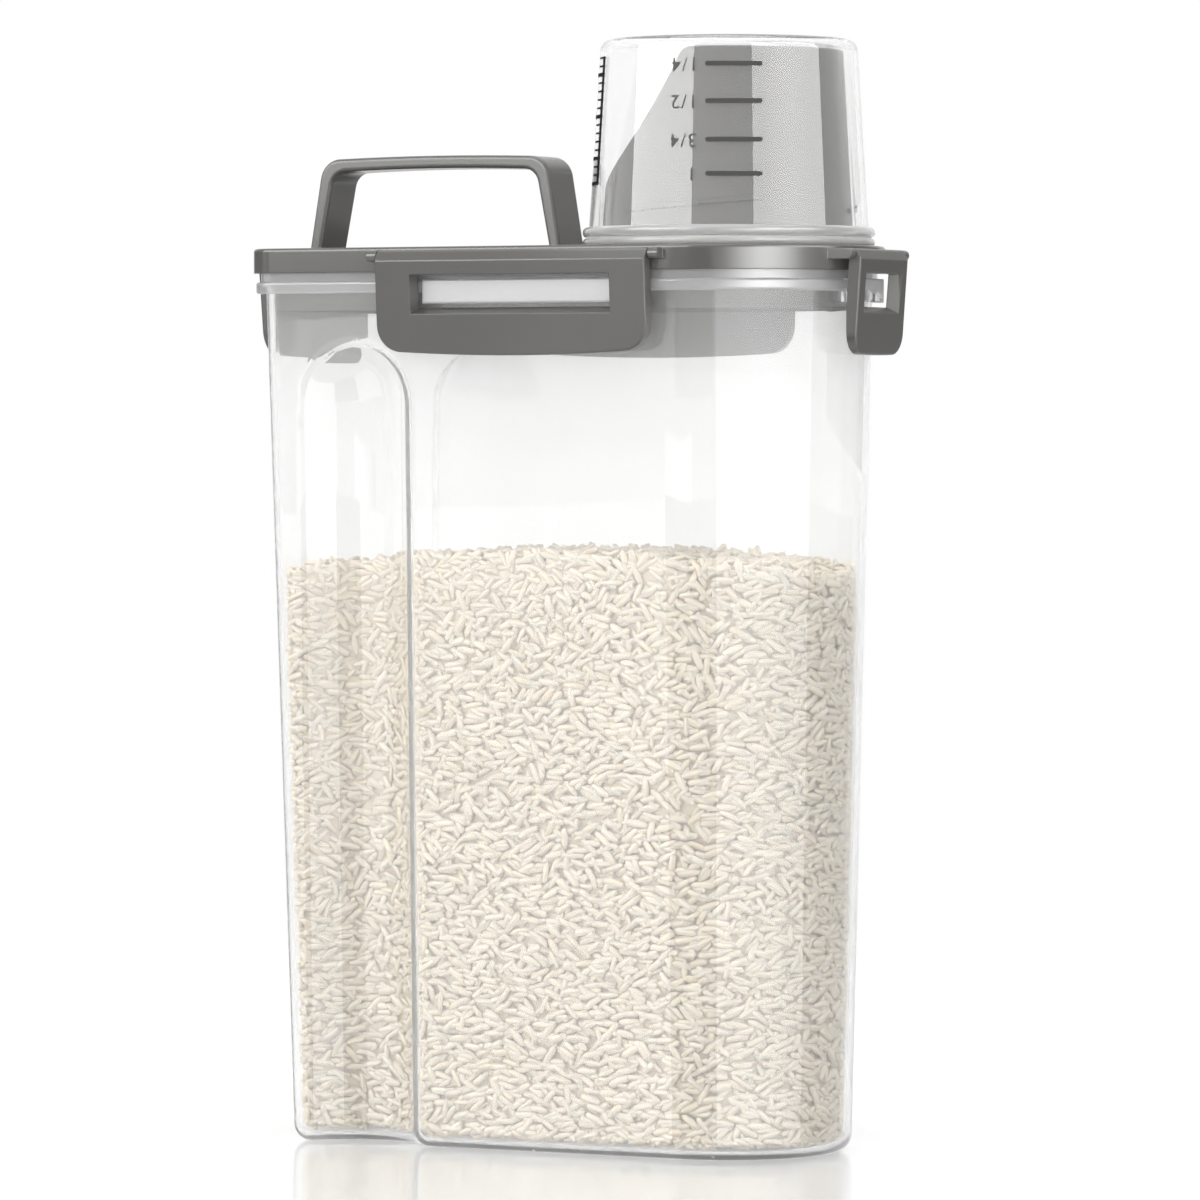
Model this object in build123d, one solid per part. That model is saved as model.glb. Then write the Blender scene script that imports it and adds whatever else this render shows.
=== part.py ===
"""Rice container with a latched lid, a pour spout and a measuring cup for a cap.

Millimetres, +Z up.  The origin is under the middle of the whole object, on the floor.
+X is the spout end, -X the grip end, -Y the front.
"""
import math
import os

from build123d import *

# Plan of the lid, which sets every other outline by an inset from its edge
LID_LENGTH = 176.0
LID_WIDTH = 87.6
LID_CORNER_RADIUS = 9.0
ROUND_RADIUS = LID_WIDTH / 2
GRIP_END_X = -LID_LENGTH / 2
SPOUT_AXIS_X = LID_LENGTH / 2 - ROUND_RADIUS

# Heights of the tub's mouth and the lid, counted up from the underside of the flange
FLANGE_BOTTOM_Z = 240.4
FLANGE_THICKNESS = 3.4
RIM_HEIGHT = 6.9
SKIRT_GAP = 2.4
LID_TO_RIM_GAP = 0.3
LID_PLATE_THICKNESS = 2.2
PLUG_DROP = 4.8
MOUTH_LEDGE_RISE = 2.0
FLANGE_TOP_Z = FLANGE_BOTTOM_Z + FLANGE_THICKNESS
RIM_TOP_Z = FLANGE_TOP_Z + RIM_HEIGHT
SKIRT_BOTTOM_Z = FLANGE_TOP_Z + SKIRT_GAP
LID_TOP_Z = RIM_TOP_Z + LID_TO_RIM_GAP + LID_PLATE_THICKNESS
PLUG_BOTTOM_Z = FLANGE_BOTTOM_Z - PLUG_DROP
MOUTH_LEDGE_Z = FLANGE_BOTTOM_Z + MOUTH_LEDGE_RISE

# Insets from the lid's edge
SKIRT_THICKNESS = 1.8
FLANGE_INSET = 0.7
RIM_INSET = 2.2
WALL_INSET = 3.6
PLUG_INSET = 6.0
PLUG_THICKNESS = 1.6

# Tub
TUB_WALL = 1.8
TUB_FLOOR = 2.2
TUB_DRAFT_INSET = 5.7
BASE_CORNER_ROOM = 0.4
TUB_BASE_FILLET = LID_CORNER_RADIUS - WALL_INSET - BASE_CORNER_ROOM
RIM_THICKNESS = 2.0
FLANGE_EDGE_FILLET = 0.8

# Finger grooves
GRIP_FROM_END = 34.0
GRIP_DEPTH = 9.5
GRIP_CHORD = 33.0
GRIP_TOP_DROP = 14.4
GRIP_EDGE_FILLET = 5.0
GRIP_CENTRE_X = GRIP_END_X + GRIP_FROM_END
GRIP_TOP_Z = FLANGE_BOTTOM_Z - GRIP_TOP_DROP

# Rice inside the tub
RICE_TOP_Z = 167.8
RICE_END_FALL = 5.0
RICE_CLEARANCE = 0.4

# Lid details
LID_EDGE_FILLET = 0.9
GASKET_GROOVE_DEPTH = 0.5
GASKET_RISE = 1.2
GASKET_GROOVE_HEIGHT = 3.4
GASKET_SEAT_CLEARANCE = 0.1
GASKET_RUN_CLEARANCE = 0.35
GASKET_BOTTOM_Z = FLANGE_TOP_Z + GASKET_RISE
GASKET_TOP_Z = GASKET_BOTTOM_Z + GASKET_GROOVE_HEIGHT

# Catch bars on the tub, which the open lid's latches just clear
LATCH_RUN_CLEARANCE = 0.15
LATCH_FOOT_INSET = 0
LUG_INSET = LATCH_FOOT_INSET + LATCH_RUN_CLEARANCE
LUG_DROP = 3.1
LUG_HEIGHT = 6.7
LUG_SIDE_GAP = 0.6
LUG_EDGE_FILLET = 0.6
LUG_BOTTOM_Z = FLANGE_BOTTOM_Z - LUG_DROP
LUG_TOP_Z = LUG_BOTTOM_Z + LUG_HEIGHT

# Latches and their hinges, measured outward from the lid's edge
HINGE_OUT = 1.8
HINGE_DROP = 2.6
HINGE_Z = LID_TOP_Z - HINGE_DROP
KNUCKLE_RADIUS = 1.5
PIN_RADIUS = 0.75
PIN_CLEARANCE = 0.05
PIN_END_CLEARANCE = 0.1
EAR_END_WALL = 0.9
EAR_WIDTH = 3.0
EAR_GAP = 0.35
EAR_ROOT = 0.4
LATCH_OUTER = 4.6
LATCH_INNER = 0.9
LATCH_INNER_TOP_DROP = 1.7
LATCH_TOP_SLOPE_ANGLE = 35.0
LATCH_LEAN = 1.9
LATCH_DROP = 27.9
LATCH_EDGE_FILLET = 0.5
LATCH_INNER_TOP_Z = HINGE_Z - LATCH_INNER_TOP_DROP
LATCH_BOTTOM_Z = HINGE_Z - LATCH_DROP
WINDOW_TOP_GAP = 1.3
SILL_GAP = 1.2
SILL_SLOPE_DROP = 1.8
WINDOW_SIDE_FLARE = 1.0
WINDOW_TOP_Z = LUG_TOP_Z + WINDOW_TOP_GAP
SILL_Z = LUG_BOTTOM_Z - SILL_GAP
SILL_OUTER_Z = SILL_Z - SILL_SLOPE_DROP

# Widths of the three kinds of latch
LONG_LATCH_END_GAP = 1.7
LONG_LATCH_STILE = 12.0
LONG_LATCH_CORNER = 7.5
LONG_LATCH_SAG = 1.5
LONG_LATCH_WIDTH = 2 * (SPOUT_AXIS_X - LONG_LATCH_END_GAP)
GRIP_LATCH_END_GAP = 16.8
GRIP_LATCH_STILE = 9.0
GRIP_LATCH_CORNER = 7.0
GRIP_LATCH_SAG = 0.9
GRIP_LATCH_WIDTH = LID_WIDTH - 2 * GRIP_LATCH_END_GAP
SPOUT_LATCH_WIDTH = 30.0
SPOUT_LATCH_STILE = 4.75
SPOUT_LATCH_CORNER = 6.0
SPOUT_LATCH_SAG = 0.4

# Pour spout, on the axis of the lid's round end
SPOUT_INSET = 8.0
SPOUT_TAPER = 4.2
SPOUT_WALL = 1.8
SPOUT_HEIGHT = 55.0
SPOUT_BASE_RADIUS = ROUND_RADIUS - SPOUT_INSET
SPOUT_TOP_RADIUS = SPOUT_BASE_RADIUS - SPOUT_TAPER
SPOUT_CUT_START_HEIGHT = 12.0
SPOUT_CUT_END_X = 2.0
SPOUT_CUT_SAG = 4.7
SPOUT_CUT_CORNER = 5.0
SPOUT_LIP_RADIUS = 1.4
SPOUT_SHOULDER = 2.4
SPOUT_NECK_DROP = 4.6
SPOUT_NECK_RADIUS = SPOUT_BASE_RADIUS - SPOUT_SHOULDER
SPOUT_BARB_OUT = 0.5
SPOUT_BARB_HEIGHT = 1.4
SPOUT_SEAT_CLEARANCE = 0.05
SPOUT_RIB_OUT = 0.8
SPOUT_RIB_HEIGHT = 1.3
SPOUT_RIB_START_HEIGHT = 9.0
SPOUT_RIB_RISE = 3.4
SPOUT_RIB_SWEEP_ANGLE = 68.0
SPOUT_RIB_START_ANGLE = -116.0
SPOUT_RIB_COUNT = 3
SPOUT_RIB_STEPS = 12

# Measuring cup over the spout, and the seal it stands on
CUP_WALL = 1.6
CUP_RIM_GAP = 1.9
CUP_END_GAP = 2.8
CUP_TOP_GAP = 1.2
CUP_BEAD_OUT = 1.6
CUP_BEAD_HEIGHT = 3.0
CUP_END_FILLET = 3.4
CUP_INNER_FILLET = 2.0
CUP_SEAT_CLEARANCE = 0.1
CUP_RIM_RADIUS = SPOUT_BASE_RADIUS + CUP_RIM_GAP + CUP_WALL
CUP_END_RADIUS = SPOUT_TOP_RADIUS + CUP_END_GAP + CUP_WALL
CUP_TOP_HEIGHT = SPOUT_HEIGHT + CUP_TOP_GAP + CUP_WALL
CUP_BEAD_RADIUS = CUP_RIM_RADIUS + CUP_BEAD_OUT
CUP_LUG_IN = 0.7
CUP_LUG_HEIGHT = 3.8
CUP_LUG_START_HEIGHT = 8.6
CUP_LUG_SWEEP_ANGLE = 28.0
CUP_LUG_MID_ANGLE = -62.0
CUP_LUG_COUNT = 3
SEAL_RUN_GAP = 0.4
SEAL_HEIGHT = 2.3
SEAL_INNER_RADIUS = SPOUT_BASE_RADIUS + SEAL_RUN_GAP
SEAL_OUTER_RADIUS = CUP_BEAD_RADIUS

# Handle, from the lid's grip end to the seal
HANDLE_END_INSET = 1.0
HANDLE_TO_SEAL_GAP = 8.7
HANDLE_LEG_LEAN = 4.4
HANDLE_HEIGHT = 26.1
HANDLE_CROWN = 0.7
HANDLE_STRAP = 3.6
HANDLE_WIDTH = 15.2
HANDLE_CORNER_RADIUS = 6.5
HANDLE_EDGE_FILLET = 1.0
HANDLE_TENON_DEPTH = 1.2
HANDLE_TENON_INSET = 0.5
HANDLE_SEAT_CLEARANCE = 0.05
HANDLE_FOOT_LEFT_X = GRIP_END_X + HANDLE_END_INSET
HANDLE_FOOT_RIGHT_X = SPOUT_AXIS_X - SEAL_OUTER_RADIUS - HANDLE_TO_SEAL_GAP
HANDLE_SHOULDER_LEFT_X = HANDLE_FOOT_LEFT_X + HANDLE_LEG_LEAN
HANDLE_SHOULDER_RIGHT_X = HANDLE_FOOT_RIGHT_X - HANDLE_LEG_LEAN

CUT_OVERRUN = 5.0
FIND_TOLERANCE = 0.1
FULL_TURN = 360.0
QUARTER_TURN = 90.0
CORNER_MID_SHARE = math.sqrt(0.5)
MID_SHARE = 0.5

PARTS_FOLDER = "parts"


def plan_face(inset, z=0, radius_trim=0):
    """Outline at an inset from the lid's edge: round at the spout end, flat at the grip end."""
    left_x = GRIP_END_X + inset + radius_trim
    half = ROUND_RADIUS - inset - radius_trim
    corner = max(LID_CORNER_RADIUS - inset, LID_CORNER_RADIUS - WALL_INSET - TUB_WALL)
    arc_x = left_x + corner
    arc_y = half - corner
    reach = corner * CORNER_MID_SHARE
    edges = [
        Line((arc_x, -half), (SPOUT_AXIS_X, -half)),
        ThreePointArc((SPOUT_AXIS_X, -half), (SPOUT_AXIS_X + half, 0), (SPOUT_AXIS_X, half)),
        Line((SPOUT_AXIS_X, half), (arc_x, half)),
        ThreePointArc((arc_x, half), (arc_x - reach, arc_y + reach), (left_x, arc_y)),
        Line((left_x, arc_y), (left_x, -arc_y)),
        ThreePointArc((left_x, -arc_y), (arc_x - reach, -arc_y - reach), (arc_x, -half)),
    ]
    return Pos(0, 0, z) * make_face(edges)


def plan_block(inset, bottom_z, top_z):
    """A straight-sided block of that outline between two heights."""
    return extrude(plan_face(inset, bottom_z), amount=top_z - bottom_z)


def draft_inset(z):
    """How far the tub's tapered wall lies inside its outline below the flange."""
    return TUB_DRAFT_INSET * (FLANGE_BOTTOM_Z - z) / FLANGE_BOTTOM_Z


def grip_cutter(side, growth):
    """Round-ended finger groove down one long side (side -1 is the front)."""
    radius = (GRIP_CHORD ** 2 / 4 + GRIP_DEPTH ** 2) / (2 * GRIP_DEPTH)
    stand_off = radius - GRIP_DEPTH
    centre_z = GRIP_TOP_Z - GRIP_CHORD / 2
    wall_y = ROUND_RADIUS - WALL_INSET - draft_inset(centre_z)
    lean = math.degrees(math.atan(TUB_DRAFT_INSET / FLANGE_BOTTOM_Z))
    length = centre_z + 2 * CUT_OVERRUN
    place = Pos(GRIP_CENTRE_X, side * (wall_y + stand_off), centre_z)
    shaft = Rot(-side * lean, 0, 0) * Pos(0, 0, -length / 2) * Cylinder(radius + growth, length)
    return place * (shaft + Sphere(radius + growth))


def tub_core(inset, bottom_z, base_fillet, grip_growth, grip_fillet):
    """The drafted inside or outside form of the tub up to the flange."""
    low = plan_face(WALL_INSET + inset, bottom_z, draft_inset(bottom_z))
    high = plan_face(WALL_INSET + inset, FLANGE_BOTTOM_Z)
    form = loft([low, high], ruled=True)
    for side in (-1, 1):
        form -= grip_cutter(side, grip_growth)
    half = ROUND_RADIUS - WALL_INSET - inset
    edges = [
        e for e in form.edges()
        if (e @ MID_SHARE).Z > bottom_z + FIND_TOLERANCE
        and abs(abs((e @ MID_SHARE).Y) - half + draft_inset((e @ MID_SHARE).Z)) < FIND_TOLERANCE
        and abs((e @ MID_SHARE).X - GRIP_CENTRE_X) < GRIP_CHORD / 2 + grip_growth + FIND_TOLERANCE
    ]
    form = fillet(edges, grip_fillet)
    floor_edges = [e for e in form.edges() if e.bounding_box().max.Z < bottom_z + FIND_TOLERANCE]
    return fillet(floor_edges, base_fillet)


def latch_frame(name):
    """Place of a latch's own frame: its X runs along the lid's edge and -Y points outward."""
    frames = {
        "front": Pos(0, -ROUND_RADIUS, 0),
        "rear": Pos(0, ROUND_RADIUS, 0) * Rot(0, 0, 2 * QUARTER_TURN),
        "spout_end": Pos(SPOUT_AXIS_X + ROUND_RADIUS, 0, 0) * Rot(0, 0, QUARTER_TURN),
        "grip_end": Pos(GRIP_END_X, 0, 0) * Rot(0, 0, -QUARTER_TURN),
    }
    return frames[name]


# Width, window width, corner radius and bow of the lower edge of each latch
LONG_LATCH = (LONG_LATCH_WIDTH, LONG_LATCH_WIDTH - 2 * LONG_LATCH_STILE, LONG_LATCH_CORNER, LONG_LATCH_SAG)
LATCH_SIZES = {
    "front": LONG_LATCH,
    "rear": LONG_LATCH,
    "grip_end": (
        GRIP_LATCH_WIDTH, GRIP_LATCH_WIDTH - 2 * GRIP_LATCH_STILE, GRIP_LATCH_CORNER, GRIP_LATCH_SAG),
    "spout_end": (
        SPOUT_LATCH_WIDTH, SPOUT_LATCH_WIDTH - 2 * SPOUT_LATCH_STILE, SPOUT_LATCH_CORNER, SPOUT_LATCH_SAG),
}


def rim_depth(name):
    """How far inward the lid's edge falls away at a latch's ears, on the round end only."""
    if name != "spout_end":
        return 0
    half_span = SPOUT_LATCH_WIDTH / 2 + EAR_GAP + EAR_WIDTH
    return ROUND_RADIUS - math.sqrt(ROUND_RADIUS ** 2 - half_span ** 2)


def side_prism(points, width):
    """Extrude an (outward, height) outline along a latch frame's X, centred."""
    corners = [(-out, z) for out, z in points]
    face = Plane.YZ * make_face(Polyline(*corners, close=True))
    return extrude(face, amount=width / 2, both=True)


def x_rod(radius, width, out, z):
    """A round rod along a latch frame's X."""
    return Pos(0, -out, z) * Rot(0, QUARTER_TURN, 0) * Cylinder(radius, width)


def tub_lug(name):
    """The catch bar that a latch's sill goes under when the latch is pressed home."""
    width = LATCH_SIZES[name][1] - 2 * LUG_SIDE_GAP
    root = WALL_INSET + TUB_WALL / 3
    bar = Box(width, root - LUG_INSET, LUG_HEIGHT)
    outer = bar.faces().sort_by(Axis.Y)[0]
    bar = fillet(outer.edges(), LUG_EDGE_FILLET)
    return latch_frame(name) * Pos(0, (LUG_INSET + root) / 2, LUG_BOTTOM_Z + LUG_HEIGHT / 2) * bar


def tub():
    """Clear tub: drafted body, stepped mouth, flange and four catch bars."""
    body = tub_core(0, 0, TUB_BASE_FILLET, 0, GRIP_EDGE_FILLET)
    flange = plan_block(FLANGE_INSET, FLANGE_BOTTOM_Z, FLANGE_TOP_Z)
    levels = flange.faces().sort_by(Axis.Z)
    body += fillet(levels[-1].edges() + levels[0].edges(), FLANGE_EDGE_FILLET)
    body += plan_block(RIM_INSET, FLANGE_TOP_Z, RIM_TOP_Z)
    for name in LATCH_SIZES:
        body += tub_lug(name)
    cavity = tub_core(
        TUB_WALL, TUB_FLOOR, TUB_BASE_FILLET - TUB_WALL, TUB_WALL, GRIP_EDGE_FILLET - TUB_WALL)
    cavity += plan_block(WALL_INSET + TUB_WALL, FLANGE_BOTTOM_Z, MOUTH_LEDGE_Z)
    mouth = plan_block(RIM_INSET + RIM_THICKNESS, MOUTH_LEDGE_Z, RIM_TOP_Z + CUT_OVERRUN)
    return body - cavity - mouth


def rice_fill():
    """Rice lying in the lower part of the tub, a little heaped in the middle."""
    inset = TUB_WALL + RICE_CLEARANCE
    form = tub_core(
        inset, TUB_FLOOR + RICE_CLEARANCE, TUB_BASE_FILLET - inset, inset, GRIP_EDGE_FILLET - inset)
    half = LID_LENGTH / 2 - WALL_INSET - inset
    radius = (half ** 2 + RICE_END_FALL ** 2) / (2 * RICE_END_FALL)
    heap = Rot(QUARTER_TURN, 0, 0) * Cylinder(radius, LID_WIDTH)
    return form & Pos(0, 0, RICE_TOP_Z - radius) * heap


def lid_ears(name):
    """Two ears that hold one latch's pin, before their holes are bored."""
    width = LATCH_SIZES[name][0]
    root = EAR_ROOT + rim_depth(name)
    ears = []
    for side in (-1, 1):
        ear = x_rod(KNUCKLE_RADIUS, EAR_WIDTH, HINGE_OUT, HINGE_Z)
        arm = Pos(0, (root - HINGE_OUT) / 2, HINGE_Z) * Box(
            EAR_WIDTH, root + HINGE_OUT, 2 * KNUCKLE_RADIUS)
        shift = side * (width / 2 + EAR_GAP + EAR_WIDTH / 2)
        ears.append(latch_frame(name) * Pos(shift, 0, 0) * (ear + arm))
    return ears


def lid():
    """Lid plate with skirt, plug wall, gasket groove, spout hole, handle seats and hinge ears."""
    underside = LID_TOP_Z - LID_PLATE_THICKNESS
    body = plan_block(0, SKIRT_BOTTOM_Z, LID_TOP_Z)
    top_edges = body.faces().sort_by(Axis.Z)[-1].edges()
    body = fillet(top_edges, LID_EDGE_FILLET)
    body -= plan_block(SKIRT_THICKNESS, SKIRT_BOTTOM_Z - CUT_OVERRUN, underside)
    plug = plan_block(PLUG_INSET, PLUG_BOTTOM_Z, underside)
    groove = plan_block(PLUG_INSET - CUT_OVERRUN, GASKET_BOTTOM_Z, GASKET_TOP_Z)
    groove -= plan_block(PLUG_INSET + GASKET_GROOVE_DEPTH, GASKET_BOTTOM_Z, GASKET_TOP_Z)
    plug -= groove
    plug -= plan_block(PLUG_INSET + PLUG_THICKNESS, PLUG_BOTTOM_Z - CUT_OVERRUN, underside)
    body += plug
    for name, sizes in LATCH_SIZES.items():
        for ear in lid_ears(name):
            body += ear
        span = sizes[0] + 2 * (EAR_GAP + EAR_WIDTH - EAR_END_WALL)
        body -= latch_frame(name) * x_rod(PIN_RADIUS + PIN_CLEARANCE, span, HINGE_OUT, HINGE_Z)
    hole = Cylinder(SPOUT_NECK_RADIUS + SPOUT_SEAT_CLEARANCE, LID_PLATE_THICKNESS + 2 * CUT_OVERRUN)
    body -= Pos(SPOUT_AXIS_X, 0, LID_TOP_Z) * hole
    for foot_x in handle_feet():
        seat = Box(
            HANDLE_STRAP - 2 * HANDLE_TENON_INSET + 2 * HANDLE_SEAT_CLEARANCE,
            HANDLE_WIDTH - 2 * HANDLE_TENON_INSET + 2 * HANDLE_SEAT_CLEARANCE,
            2 * (HANDLE_TENON_DEPTH + HANDLE_SEAT_CLEARANCE),
        )
        body -= Pos(foot_x, 0, LID_TOP_Z) * seat
    return body


def lid_gasket():
    """Soft ring in the plug's groove that meets the inside of the tub's mouth."""
    outer = RIM_INSET + RIM_THICKNESS + GASKET_RUN_CLEARANCE
    inner = PLUG_INSET + GASKET_GROOVE_DEPTH - GASKET_SEAT_CLEARANCE
    bottom = GASKET_BOTTOM_Z + GASKET_SEAT_CLEARANCE
    top = GASKET_TOP_Z - GASKET_SEAT_CLEARANCE
    ring = plan_block(outer, bottom, top)
    return ring - plan_block(inner, bottom - CUT_OVERRUN, top + CUT_OVERRUN)


def handle_feet():
    """Mid lines of the two tenons, along X."""
    return (HANDLE_FOOT_LEFT_X + HANDLE_STRAP / 2, HANDLE_FOOT_RIGHT_X - HANDLE_STRAP / 2)


def handle_profile(inset, overrun):
    """Outline of the handle's arch in the XZ plane, or of the opening under it."""
    low = LID_TOP_Z
    high = LID_TOP_Z + HANDLE_HEIGHT - inset
    foot_left = HANDLE_FOOT_LEFT_X + inset
    foot_right = HANDLE_FOOT_RIGHT_X - inset
    left = HANDLE_SHOULDER_LEFT_X + inset
    right = HANDLE_SHOULDER_RIGHT_X - inset
    crown = ((left + right) / 2, high + HANDLE_CROWN)
    path = [
        Line((foot_left, low), (left, high)),
        ThreePointArc((left, high), crown, (right, high)),
        Line((right, high), (foot_right, low)),
    ]
    if overrun:
        path.append(Line((foot_right, low), (foot_right, low - overrun)))
        path.append(Line((foot_left, low - overrun), (foot_left, low)))
    path.append(Line((foot_right, low - overrun), (foot_left, low - overrun)))
    face = make_face(path)
    shoulders = face.vertices().sort_by(Axis.Y)[-2:]
    return fillet(shoulders, HANDLE_CORNER_RADIUS - inset / 2)


def handle():
    """Strap handle with two tenons that are fixed in the lid."""
    strap = handle_profile(0, 0) - handle_profile(HANDLE_STRAP, CUT_OVERRUN)
    body = extrude(Plane.XZ * strap, amount=HANDLE_WIDTH / 2, both=True)
    sides = [f for f in body.faces() if abs(f.normal_at().Y) > CORNER_MID_SHARE]
    above_foot = LID_TOP_Z + HANDLE_EDGE_FILLET
    edges = [e for f in sides for e in f.edges() if e.bounding_box().max.Z > above_foot]
    body = fillet(edges, HANDLE_EDGE_FILLET)
    for foot_x in handle_feet():
        tenon = Box(
            HANDLE_STRAP - 2 * HANDLE_TENON_INSET,
            HANDLE_WIDTH - 2 * HANDLE_TENON_INSET,
            2 * HANDLE_TENON_DEPTH,
        )
        body += Pos(foot_x, 0, LID_TOP_Z) * tenon
    return body


def arc_block(inner, outer, start_angle, sweep_angle, bottom, top):
    """A sector of a ring about the spout's axis, heights above the lid."""
    profile = make_face(Polyline((inner, bottom), (outer, bottom), (outer, top), (inner, top), close=True))
    sector = revolve(Plane.XZ * profile, axis=Axis.Z, revolution_arc=sweep_angle)
    return Rot(0, 0, start_angle) * sector


def spout_radius(height):
    """Outside radius of the spout at a height above the lid."""
    return SPOUT_BASE_RADIUS + (SPOUT_TOP_RADIUS - SPOUT_BASE_RADIUS) * height / SPOUT_HEIGHT


def pour_spout():
    """Tapered spout cut down toward the handle, with a neck that snaps in the lid."""
    bore_base = SPOUT_NECK_RADIUS - SPOUT_WALL
    outline = [
        (bore_base, -SPOUT_NECK_DROP),
        (SPOUT_NECK_RADIUS, -SPOUT_NECK_DROP),
        (SPOUT_NECK_RADIUS + SPOUT_BARB_OUT, -SPOUT_NECK_DROP + SPOUT_BARB_HEIGHT),
        (SPOUT_NECK_RADIUS + SPOUT_BARB_OUT, -LID_PLATE_THICKNESS - SPOUT_SEAT_CLEARANCE),
        (SPOUT_NECK_RADIUS, -LID_PLATE_THICKNESS - SPOUT_SEAT_CLEARANCE),
        (SPOUT_NECK_RADIUS, 0),
        (SPOUT_BASE_RADIUS, 0),
        (SPOUT_TOP_RADIUS, SPOUT_HEIGHT),
        (SPOUT_TOP_RADIUS - SPOUT_WALL, SPOUT_HEIGHT),
    ]
    profile = make_face(Polyline(*outline, close=True))
    lip = profile.vertices().group_by(Axis.Y)[-1].sort_by(Axis.X)[-1]
    body = revolve(Plane.XZ * fillet(lip, SPOUT_LIP_RADIUS), axis=Axis.Z)
    for index in range(SPOUT_RIB_COUNT):
        body += spout_rib(index)
    reach = SPOUT_BASE_RADIUS + SPOUT_RIB_OUT + CUT_OVERRUN
    body &= extrude(Plane.XZ * spout_side(reach), amount=reach, both=True)
    return Pos(SPOUT_AXIS_X, 0, LID_TOP_Z) * body


def spout_side(reach):
    """Side view of what is kept of the spout: a hollow cut falls toward the handle."""
    start = Vector(-SPOUT_BASE_RADIUS, SPOUT_CUT_START_HEIGHT)
    end = Vector(SPOUT_CUT_END_X, SPOUT_HEIGHT)
    along = (end - start).normalized()
    middle = (start + end) / 2 + Vector(along.Y, -along.X) * SPOUT_CUT_SAG
    low = -SPOUT_NECK_DROP - CUT_OVERRUN
    far = Polyline(
        (end.X, end.Y), (reach, SPOUT_HEIGHT), (reach, low), (-reach, low),
        (-reach, SPOUT_CUT_START_HEIGHT), (start.X, start.Y))
    kept = make_face([ThreePointArc(start, middle, end), far])
    turn = kept.vertices().sort_by_distance((end.X, end.Y))[0]
    return fillet(turn, SPOUT_CUT_CORNER)


def spout_rib(index):
    """One rising guide rib on the outside of the spout."""
    step_angle = SPOUT_RIB_SWEEP_ANGLE / SPOUT_RIB_STEPS
    start = SPOUT_RIB_START_ANGLE + index * FULL_TURN / SPOUT_RIB_COUNT
    rib = None
    for step in range(SPOUT_RIB_STEPS):
        low = SPOUT_RIB_START_HEIGHT + SPOUT_RIB_RISE * step / SPOUT_RIB_STEPS
        radius = spout_radius(low)
        piece = arc_block(
            radius - SPOUT_WALL / 2, radius + SPOUT_RIB_OUT, start + step * step_angle, step_angle,
            low, low + SPOUT_RIB_HEIGHT)
        rib = piece if rib is None else rib + piece
    return rib


def spout_seal():
    """Soft ring round the foot of the spout, under the cup's rim."""
    ring = Cylinder(SEAL_OUTER_RADIUS, SEAL_HEIGHT) - Cylinder(SEAL_INNER_RADIUS, SEAL_HEIGHT + CUT_OVERRUN)
    middle = (SEAL_OUTER_RADIUS + SEAL_INNER_RADIUS) / 2
    outer_edges = [e for e in ring.edges().filter_by(GeomType.CIRCLE) if e.radius > middle]
    ring = fillet(outer_edges, SEAL_HEIGHT / 2 - CUP_SEAT_CLEARANCE)
    return Pos(SPOUT_AXIS_X, 0, LID_TOP_Z + SEAL_HEIGHT / 2) * ring


def measuring_cup():
    """Clear cup that stands upside down over the spout."""
    low = SEAL_HEIGHT + CUP_SEAT_CLEARANCE
    rim = (CUP_RIM_RADIUS, low)
    solid = revolve(Plane.XZ * make_face(Polyline(
        (0, low), rim, (CUP_END_RADIUS, CUP_TOP_HEIGHT), (0, CUP_TOP_HEIGHT), close=True)), axis=Axis.Z)
    solid = fillet(solid.edges().sort_by(Axis.Z)[-1:], CUP_END_FILLET)
    bead = Cylinder(CUP_BEAD_RADIUS, CUP_BEAD_HEIGHT)
    bead = fillet(bead.edges().filter_by(GeomType.CIRCLE), CUP_BEAD_HEIGHT / 2 - CUP_SEAT_CLEARANCE)
    solid += Pos(0, 0, low + CUP_BEAD_HEIGHT / 2) * bead
    inner_top = CUP_TOP_HEIGHT - CUP_WALL
    hollow = revolve(Plane.XZ * make_face(Polyline(
        (0, low - CUT_OVERRUN), (CUP_RIM_RADIUS - CUP_WALL, low - CUT_OVERRUN),
        (CUP_RIM_RADIUS - CUP_WALL, low), (CUP_END_RADIUS - CUP_WALL, inner_top),
        (0, inner_top), close=True)), axis=Axis.Z)
    hollow = fillet(hollow.edges().sort_by(Axis.Z)[-1:], CUP_INNER_FILLET)
    body = solid - hollow
    for index in range(CUP_LUG_COUNT):
        middle = CUP_LUG_MID_ANGLE + index * FULL_TURN / CUP_LUG_COUNT
        top = CUP_LUG_START_HEIGHT + CUP_LUG_HEIGHT
        inner = CUP_RIM_RADIUS - CUP_WALL - CUP_LUG_IN
        body += arc_block(
            inner, CUP_RIM_RADIUS - CUP_WALL / 2 - CUP_LUG_IN / 2, middle - CUP_LUG_SWEEP_ANGLE / 2,
            CUP_LUG_SWEEP_ANGLE, CUP_LUG_START_HEIGHT, top)
    return Pos(SPOUT_AXIS_X, 0, LID_TOP_Z) * body


def latch_face(width, corner, sag):
    """Front outline of a latch: square top, rounded lower corners, slightly bowed lower edge."""
    top = HINGE_Z + 2 * KNUCKLE_RADIUS
    low = LATCH_BOTTOM_Z + sag
    half = width / 2
    face = make_face([
        Line((-half, top), (-half, low)),
        ThreePointArc((-half, low), (0, LATCH_BOTTOM_Z), (half, low)),
        Line((half, low), (half, top)),
        Line((half, top), (-half, top)),
    ])
    return fillet(face.vertices().sort_by(Axis.Y)[:2], corner)


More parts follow.
